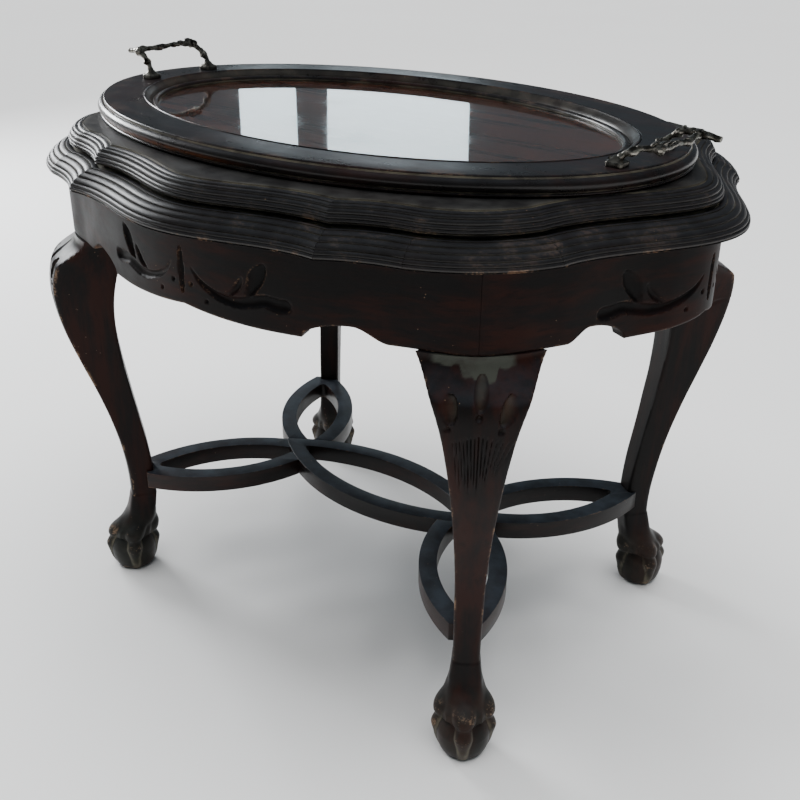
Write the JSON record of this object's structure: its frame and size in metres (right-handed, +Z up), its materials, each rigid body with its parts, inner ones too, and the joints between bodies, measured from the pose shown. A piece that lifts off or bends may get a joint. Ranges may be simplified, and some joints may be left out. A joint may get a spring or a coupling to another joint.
{
  "type": "oval tray-top serving table",
  "caption": "Low serving table with a wavy reeded edge, cabriole legs, a stretcher of open loops and an oval glazed tray that lifts off by its handles.",
  "frame": {"origin": "on the floor under the middle of the table", "axes": "+Z up, +X along the table's long axis, -Y towards the front"},
  "size_m": [0.762, 0.612, 0.5937],
  "materials": {
    "dark_wood": "worn dark stain",
    "plain_wood": "bare",
    "veneer": "polished",
    "glass": "clear",
    "bronze": "dark patina",
    "steel": "dull"
  },
  "bodies": {
    "table": {"leg_front_left": "dark_wood", "leg_front_right": "dark_wood", "leg_back_left": "dark_wood", "leg_back_right": "dark_wood", "apron_front": "dark_wood", "apron_back": "dark_wood", "apron_left": "dark_wood", "apron_right": "dark_wood", "top_board": "dark_wood", "edge_front": "dark_wood", "edge_back": "dark_wood", "edge_left": "dark_wood", "edge_right": "dark_wood", "edge_scoop_front_left": "dark_wood", "edge_scoop_front_right": "dark_wood", "edge_scoop_back_left": "dark_wood", "edge_scoop_back_right": "dark_wood", "edge_lobe_front_left": "dark_wood", "edge_lobe_front_right": "dark_wood", "edge_lobe_back_left": "dark_wood", "edge_lobe_back_right": "dark_wood", "stretcher_center": "dark_wood", "stretcher_loop_front_left": "dark_wood", "stretcher_loop_front_right": "dark_wood", "stretcher_loop_back_left": "dark_wood", "stretcher_loop_back_right": "dark_wood", "corner_block_front_left": "plain_wood", "block_screw_front_left": "steel", "stretcher_screw_front_left": "steel", "corner_block_front_right": "plain_wood", "block_screw_front_right": "steel", "stretcher_screw_front_right": "steel", "corner_block_back_left": "plain_wood", "block_screw_back_left": "steel", "stretcher_screw_back_left": "steel", "corner_block_back_right": "plain_wood", "block_screw_back_right": "steel", "stretcher_screw_back_right": "steel"},
    "tray": {"tray_frame": "dark_wood", "tray_bead": "dark_wood", "tray_glass": "glass", "tray_panel": "veneer", "handle_left": "bronze", "handle_right": "bronze", "handle_screw_left_front": "steel", "handle_screw_left_back": "steel", "handle_screw_right_front": "steel", "handle_screw_right_back": "steel"}
  },
  "joints": [
    {"name": "tray_lift", "type": "slide", "parent": "table", "child": "tray", "axis": [0, 0, 1], "range_m": [0, 0.15]}
  ]
}
